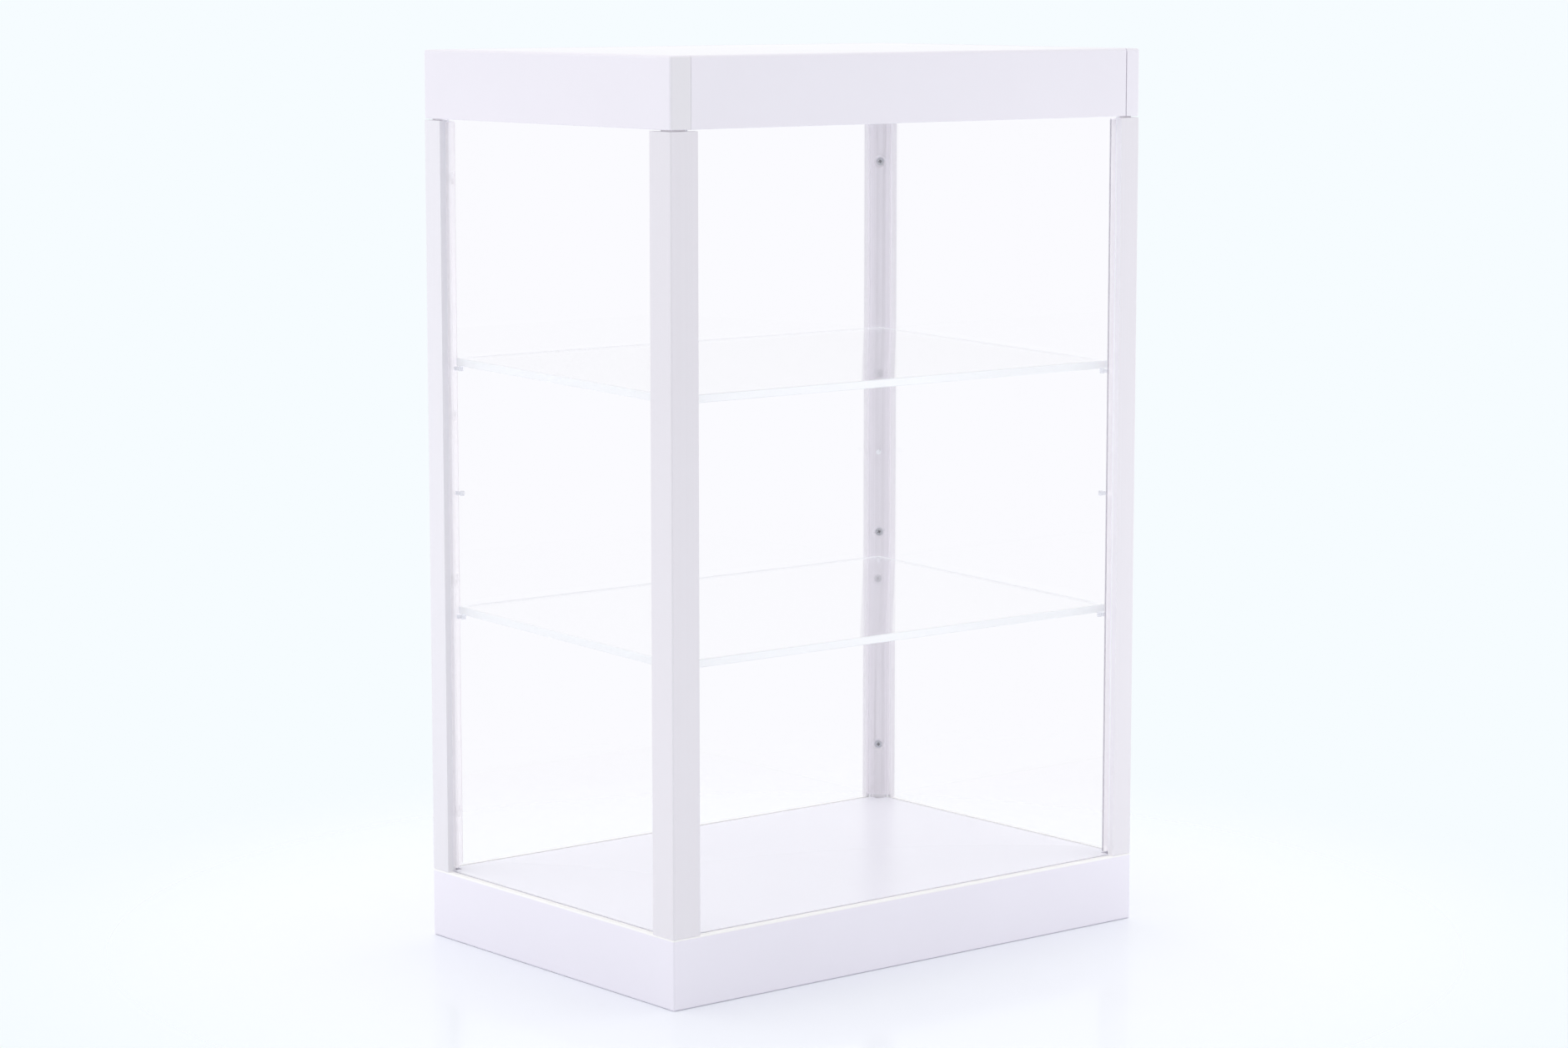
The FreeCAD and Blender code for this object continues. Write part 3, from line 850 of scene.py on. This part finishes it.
@dataclass
class SawnSheet:
    """Clear acrylic sheet sawn to size: polished faces, frosted edges and eased arrises."""

    arris: float = 0.25 * MM
    arris_steps: int = 2
    face_slope: float = 0.95

    def slab(self, name: str, low: Vector, high: Vector) -> Piece:
        """Model a sheet that fills a box, and ease its edges.

        Args:
            name: Name of the sheet.
            low: Lowest corner of the box.
            high: Highest corner of the box.

        Returns:
            The sheet.
        """
        bpy.ops.object.select_all(action="DESELECT")
        bpy.ops.mesh.primitive_cube_add(size=1.0, location=(low + high) / 2, scale=high - low)
        bpy.ops.object.transform_apply()
        sheet = bpy.context.object
        sheet.name = name
        bpy.ops.object.mode_set(mode="EDIT")
        bpy.ops.mesh.bevel(offset=self.arris, segments=self.arris_steps, affect="EDGES")
        bpy.ops.object.mode_set(mode="OBJECT")
        return sheet

    def finish(self, sheet: Piece, across: Vector, clear: Material) -> None:
        """Make a sheet's faces clear and its edges frosted.

        Args:
            sheet: The sheet.
            across: Direction square to its faces.
            clear: Material of its faces.
        """
        sheet.data.materials.append(clear)
        sheet.data.materials.append(SawnAcrylic(name=f"{sheet.name}_sawn_edge").material())
        for face in sheet.data.polygons:
            face.material_index = int(abs(face.normal.dot(across)) < self.face_slope)
        LOG.info("%s built", sheet.name)


@dataclass
class WallPanel(SawnSheet):
    """Clear wall between two posts; the front one also hangs from the fascia by three screws."""

    wall: Wall = Wall.FRONT
    screw_places: tuple[float, ...] = (-98.0 * MM, 1.5 * MM, 101.0 * MM)
    screw_level: float = 426.0 * MM
    screw_hole: float = 2.7 * MM
    hole_sides: int = 32

    @property
    def node(self) -> str:
        """Name of the CAD node of the panel."""
        return f"{self.wall.value}_panel"

    def build(self) -> Piece:
        """Model the panel where its CAD node stands.

        Returns:
            The finished panel.
        """
        low, high = (Vector(corner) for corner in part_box(self.node))
        sheet = self.slab(f"{self.node}_sheet", low, high)
        if self.wall is Wall.FRONT:
            self.drill(sheet, (low.y + high.y) / 2, high.y - low.y)
        return sheet

    def drill(self, sheet: Piece, middle: float, thickness: float) -> None:
        """Drill the holes of the fascia's screws.

        Args:
            sheet: The front panel.
            middle: Y of the middle of the panel.
            thickness: Thickness of the panel, which each hole goes right through.
        """
        for place in self.screw_places:
            bpy.ops.object.select_all(action="DESELECT")
            bpy.ops.mesh.primitive_cylinder_add(
                vertices=self.hole_sides, radius=self.screw_hole / 2, depth=2 * thickness,
                location=(place, middle, self.screw_level), rotation=(math.pi / 2, 0.0, 0.0))
            bpy.ops.object.transform_apply()
            carve(sheet, bpy.context.object)

    def dress(self, sheet: Piece) -> None:
        """Give the panel its finish and let it ride in place of its CAD node.

        Args:
            sheet: The finished panel.
        """
        sideways = self.wall in (Wall.LEFT, Wall.RIGHT)
        across = Vector((1.0, 0.0, 0.0)) if sideways else Vector((0.0, 1.0, 0.0))
        self.finish(sheet, across, ClearAcrylic(name=f"{self.node}_acrylic").material())
        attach(sheet, "front_door" if self.wall is Wall.FRONT else "case")
        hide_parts(self.node)


@dataclass
class Shelf(SawnSheet):
    """Clear shelf, which leans a little towards the front on its pegs."""

    level: Level = Level.LOWER
    arris: float = 0.4 * MM
    thickness: float = 4.0 * MM
    rise: float = 5.0 * MM
    run: float = 175.5 * MM
    front_glow: float = 0.08

    @property
    def node(self) -> str:
        """Name of the CAD node and of the body that the shelf belongs to."""
        return f"{self.level.value}_shelf"

    @property
    def lean(self) -> float:
        """Angle by which the shelf leans to the front."""
        return math.atan2(self.rise, self.run)

    def build(self) -> Piece:
        """Model the shelf level, then lean it to where its CAD node lies.

        Returns:
            The finished shelf.
        """
        low, high = (Vector(corner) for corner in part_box(self.node))
        depth = (high.y - low.y - self.thickness * math.sin(self.lean)) / math.cos(self.lean)
        front = Vector((low.x, high.y - depth * math.cos(self.lean), low.z))
        back = front + Vector((high.x - low.x, depth, self.thickness))
        sheet = self.slab(f"{self.node}_sheet", front, back)
        bpy.ops.object.mode_set(mode="EDIT")
        bpy.ops.mesh.select_all(action="SELECT")
        bpy.ops.transform.rotate(value=-self.lean, orient_axis="X", center_override=front)
        bpy.ops.object.mode_set(mode="OBJECT")
        return sheet

    def dress(self, sheet: Piece) -> None:
        """Give the shelf its finish and let it ride in place of its CAD node.

        Args:
            sheet: The finished shelf.
        """
        across = Vector((0.0, -math.sin(self.lean), math.cos(self.lean)))
        self.finish(sheet, across, ClearAcrylic(name=f"{self.node}_acrylic").material())
        # Painted glow on the front edge stands in for light that enters at the bright back and leaves the
        # sheet through its front edge
        front_edge = SawnAcrylic(name=f"{self.node}_front_edge", painted_glow=self.front_glow, right_glow=0.0)
        sheet.data.materials.append(front_edge.material())
        for face in sheet.data.polygons:
            if face.normal.y < -self.face_slope:
                face.material_index = len(sheet.data.materials) - 1
        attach(sheet, self.node)
        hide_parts(self.node)


@dataclass
class Cap:
    """Lift-off cap: boards, top plate, battens and screws."""

    def dress(self) -> None:
        """Give every piece of the cap its finish."""
        boards = SprayedLacquer(name="cap_sprayed_lacquer", colour=CAP_SHADED_WHITE, shade=CAP_SHADE)
        coat(boards.material(), "cap_right_board", "cap_rear_board")
        # Painted light: the top plate looks up at the light, so it is drawn a purer, lighter white than the
        # boards
        plate = SprayedLacquer(name="top_plate_painted_light_lacquer", colour="#F3F3F6", shade="#F0F0F3")
        coat(plate.material(), "cap_top_plate")
        # The sawn end of the left board drank some of its lacquer, so it is greyer than the faces
        thirsty = EdgedLacquer(
            name="end_grain_lacquer", colour=CAP_SHADED_WHITE, shade=CAP_SHADE, edge_colour="#E6E4E9", edge_axis="Y",
            edge_full=-99.9 * MM, edge_none=-99.5 * MM)
        coat(thirsty.material(), "cap_left_board")
        battens = BareFibreboard(name="batten_fibreboard")
        coat(battens.material(), *[f"cap_{side}_batten" for side in ("left", "right", "rear")])
        coat(PlatedSteel(name="cap_screw_steel").material(), "cap_screws")


@dataclass
class Fascia:
    """Front board of the cap, which slides up together with the front panel."""

    def dress(self) -> None:
        """Give the fascia and its screws their finish."""
        board = SprayedLacquer(name="fascia_sprayed_lacquer", colour=CAP_SHADED_WHITE, shade=CAP_SHADE)
        coat(board.material(), "front_fascia")
        coat(PlatedSteel(name="fascia_screw_steel").material(), "fascia_screws")


@dataclass(frozen=True)
class Softbox:
    """Square lamp that gives one side of the case a soft gradient."""

    name: str
    place: Point
    power: float
    side: float = 0.9
    aim: Point = (0.0, 0.0, 0.2)

    def build(self) -> None:
        """Hang the lamp and turn it to the case."""
        lamp = bpy.data.lights.new(self.name, "AREA")
        lamp.shape = "SQUARE"
        lamp.size = self.side
        lamp.energy = self.power
        holder = bpy.data.objects.new(self.name, lamp)
        bpy.context.scene.collection.objects.link(holder)
        holder.location = self.place
        towards = Vector(self.aim) - Vector(self.place)
        holder.rotation_euler = towards.to_track_quat("-Z", "Y").to_euler()
        # The walls would show a lamp as a bright square, so only what it lights is seen
        holder.visible_camera = False
        holder.visible_glossy = False
        holder.visible_transmission = False


@dataclass(frozen=True)
class Shade:
    """Side of the light tent that gives less light, by a drop from the level of the rest."""

    side: Point
    drop: float


@dataclass
class Studio:
    """Pale table, soft light from all round and the camera."""

    table_size: float = 20.0
    table_top: float = 0.36 * MM
    table_colour: str = "#F6F9FF"
    table_roughness: float = 0.1
    table_ior: float = 1.45
    fade_start: float = 0.19
    fade_end: float = 0.45
    seen_colour: str = "#F6FCFF"
    seen_through_colour: str = "#FBFBFF"
    light_colour: str = "#FFFFFF"
    light_level: float = 1.12
    shades: tuple[Shade, ...] = (
        Shade((-0.3, -0.94, 0.17), drop=0.43),
        Shade((0.8, 0.6, 0.0), drop=0.14),
    )
    shade_power: float = 2.0
    softboxes: tuple[Softbox, ...] = (
        Softbox("left_softbox", (-0.62, 0.52, 0.12), power=0.6, side=0.5),
        Softbox("right_softbox", (0.6, -0.46, 0.12), power=0.95, side=0.5),
        Softbox("top_softbox", (0.0, 0.3, 1.6), power=1.4),
    )
    camera_place: Point = (-1.2778, -1.5566, 0.4878)
    camera_azimuth: float = 39.37
    camera_tilt: float = 7.86
    camera_lens: float = 91.74
    sensor: float = 36.0

    def table(self) -> None:
        """Lay the table under the case."""
        bpy.ops.object.select_all(action="DESELECT")
        # The rubber pads give a little under the case, so the table's top is that much above their undersides
        bpy.ops.mesh.primitive_plane_add(size=self.table_size, location=(0.0, 0.0, self.table_top))
        bpy.ops.object.transform_apply()
        table = bpy.context.object
        table.name = "table"
        # Glossy white laminate: it mirrors the foot of the case, and ends in the pale of the backdrop
        material, tree, place = start_material("glossy_white_table")
        surface = add_node(tree, "ShaderNodeBsdfPrincipled", {
            "Base Color": linear(self.table_colour),
            "Roughness": self.table_roughness, "IOR": self.table_ior})
        away = add_node(tree, "ShaderNodeVectorMath", {0: place}, operation="LENGTH")
        fade = add_node(tree, "ShaderNodeMapRange", {
            "Value": away.outputs["Value"], "From Min": self.fade_start, "From Max": self.fade_end},
            interpolation_type="SMOOTHSTEP")
        beyond = add_node(tree, "ShaderNodeBsdfTransparent", {})
        sweep = add_node(tree, "ShaderNodeMixShader", {
            0: fade.outputs["Result"], 1: surface.outputs["BSDF"], 2: beyond.outputs["BSDF"]})
        # It fades only from sight: light still bounces off the whole table
        path = add_node(tree, "ShaderNodeLightPath", {}).outputs
        whole = add_node(tree, "ShaderNodeMixShader", {
            0: path["Is Diffuse Ray"], 1: sweep.outputs["Shader"], 2: surface.outputs["BSDF"]})
        add_node(tree, "ShaderNodeOutputMaterial", {"Surface": whole.outputs["Shader"]})
        table.data.materials.append(material)

    def light(self) -> None:
        """Surround the case with soft light that falls off towards the shaded sides of the tent."""
        world = bpy.data.worlds.new("light_tent")
        bpy.context.scene.world = world
        world.use_nodes = True
        tree = world.node_tree
        tree.nodes.clear()
        path = add_node(tree, "ShaderNodeLightPath", {}).outputs
        mirrored = add_node(tree, "ShaderNodeMath", {
            0: path["Is Glossy Ray"], 1: path["Is Transmission Ray"]}, operation="MAXIMUM")
        straight = add_node(tree, "ShaderNodeMath", {
            0: path["Is Camera Ray"], 1: mirrored.outputs[0]}, operation="MAXIMUM")
        # Only the eye sees the backdrop: a ray that has bounced off a matt surface meets the tent
        no_bounce = 0.5
        before_matt = add_node(tree, "ShaderNodeMath", {
            0: path["Diffuse Depth"], 1: no_bounce}, operation="LESS_THAN")
        seen = add_node(tree, "ShaderNodeMath", {
            0: straight.outputs[0], 1: before_matt.outputs[0]}, operation="MULTIPLY")
        way = add_node(tree, "ShaderNodeTexCoord", {}).outputs["Generated"]
        level: Value = self.light_level
        for shade in self.shades:
            towards = add_node(tree, "ShaderNodeVectorMath", {
                0: way, 1: tuple(Vector(shade.side).normalized())}, operation="DOT_PRODUCT")
            ahead = add_node(tree, "ShaderNodeMath", {
                0: towards.outputs["Value"], 1: 0.0}, operation="MAXIMUM")
            lobe = add_node(tree, "ShaderNodeMath", {
                0: ahead.outputs[0], 1: self.shade_power}, operation="POWER")
            level = add_node(tree, "ShaderNodeMath", {
                0: lobe.outputs[0], 1: -shade.drop, 2: level}, operation="MULTIPLY_ADD").outputs[0]
        paint = add_node(tree, "ShaderNodeMix", {
            "Factor": mirrored.outputs[0],
            "A": linear(self.seen_colour), "B": linear(self.seen_through_colour)}, data_type="RGBA")
        backdrop = add_node(tree, "ShaderNodeBackground", {"Color": paint.outputs["Result"], "Strength": 1.0})
        tent = add_node(tree, "ShaderNodeBackground", {"Color": linear(self.light_colour), "Strength": level})
        both = add_node(tree, "ShaderNodeMixShader", {
            0: seen.outputs[0], 1: tent.outputs["Background"], 2: backdrop.outputs["Background"]})
        add_node(tree, "ShaderNodeOutputWorld", {"Surface": both.outputs["Shader"]})

    def camera(self) -> None:
        """Set the camera where the case is seen from its left front corner."""
        lens = bpy.data.cameras.new("camera")
        lens.lens = self.camera_lens
        lens.sensor_width = self.sensor
        lens.clip_end = 2 * self.table_size
        camera = bpy.data.objects.new("camera", lens)
        bpy.context.scene.collection.objects.link(camera)
        camera.location = self.camera_place
        turn = (math.radians(90 - self.camera_tilt), 0.0, math.radians(-self.camera_azimuth))
        camera.rotation_euler = Euler(turn)
        bpy.context.scene.camera = camera

    def build(self) -> None:
        """Set up the table, the light, the camera and plain colours."""
        self.table()
        self.light()
        for softbox in self.softboxes:
            softbox.build()
        self.camera()
        bpy.context.scene.view_settings.view_transform = "Standard"
        LOG.info("studio set up")


def main() -> None:
    """Build and dress every sub-assembly, then set up the studio."""
    logging.basicConfig(level=logging.INFO, format="%(message)s")
    for assembly in (Base(), Corners(), Cap(), Fascia()):
        assembly.dress()
    screws = StripScrews()
    screws.dress(screws.build())
    for wall in Wall:
        panel = WallPanel(wall=wall)
        panel.dress(panel.build())
    for level in Level:
        shelf = Shelf(level=level)
        shelf.dress(shelf.build())
    Studio().build()


if __name__ == "__main__":
    main()
